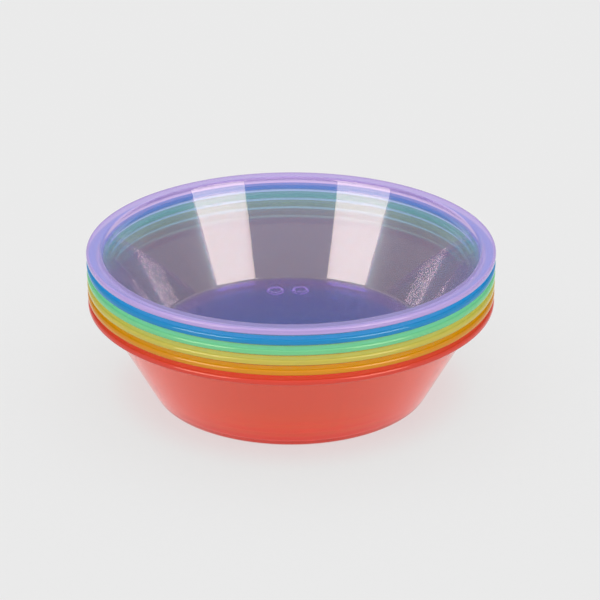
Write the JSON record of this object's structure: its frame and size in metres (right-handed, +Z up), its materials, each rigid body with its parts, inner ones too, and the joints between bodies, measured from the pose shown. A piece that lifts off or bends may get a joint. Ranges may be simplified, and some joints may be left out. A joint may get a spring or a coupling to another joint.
{
  "type": "nest of stacking bowls",
  "caption": "Nest of round see-through plastic bowls with flat rims, each a different colour, that lift off one another.",
  "frame": {"origin": "middle of the lowest bowl's flat base, on the surface that it stands on", "axes": "+Z up along the axis of the bowls, out of their mouths; the bowls are round, so X and Y are free"},
  "size_m": [0.16, 0.16, 0.0596],
  "materials": {
    "red_plastic": "glossy, see-through moulded plastic",
    "orange_plastic": "glossy, see-through moulded plastic",
    "yellow_plastic": "glossy, see-through moulded plastic",
    "green_plastic": "glossy, see-through moulded plastic",
    "blue_plastic": "glossy, see-through moulded plastic",
    "purple_plastic": "glossy, see-through moulded plastic"
  },
  "bodies": {
    "red_bowl": {"red_bowl": "red_plastic"},
    "orange_bowl": {"orange_bowl": "orange_plastic"},
    "yellow_bowl": {"yellow_bowl": "yellow_plastic"},
    "green_bowl": {"green_bowl": "green_plastic"},
    "blue_bowl": {"blue_bowl": "blue_plastic"},
    "purple_bowl": {"purple_bowl": "purple_plastic"}
  },
  "joints": [
    {"name": "orange_lift", "type": "slide", "parent": "red_bowl", "child": "orange_bowl", "axis": [0, 0, 1], "range_m": [0, 0.04]},
    {"name": "yellow_lift", "type": "slide", "parent": "orange_bowl", "child": "yellow_bowl", "axis": [0, 0, 1], "range_m": [0, 0.04]},
    {"name": "green_lift", "type": "slide", "parent": "yellow_bowl", "child": "green_bowl", "axis": [0, 0, 1], "range_m": [0, 0.04]},
    {"name": "blue_lift", "type": "slide", "parent": "green_bowl", "child": "blue_bowl", "axis": [0, 0, 1], "range_m": [0, 0.04]},
    {"name": "purple_lift", "type": "slide", "parent": "blue_bowl", "child": "purple_bowl", "axis": [0, 0, 1], "range_m": [0, 0.04]}
  ]
}
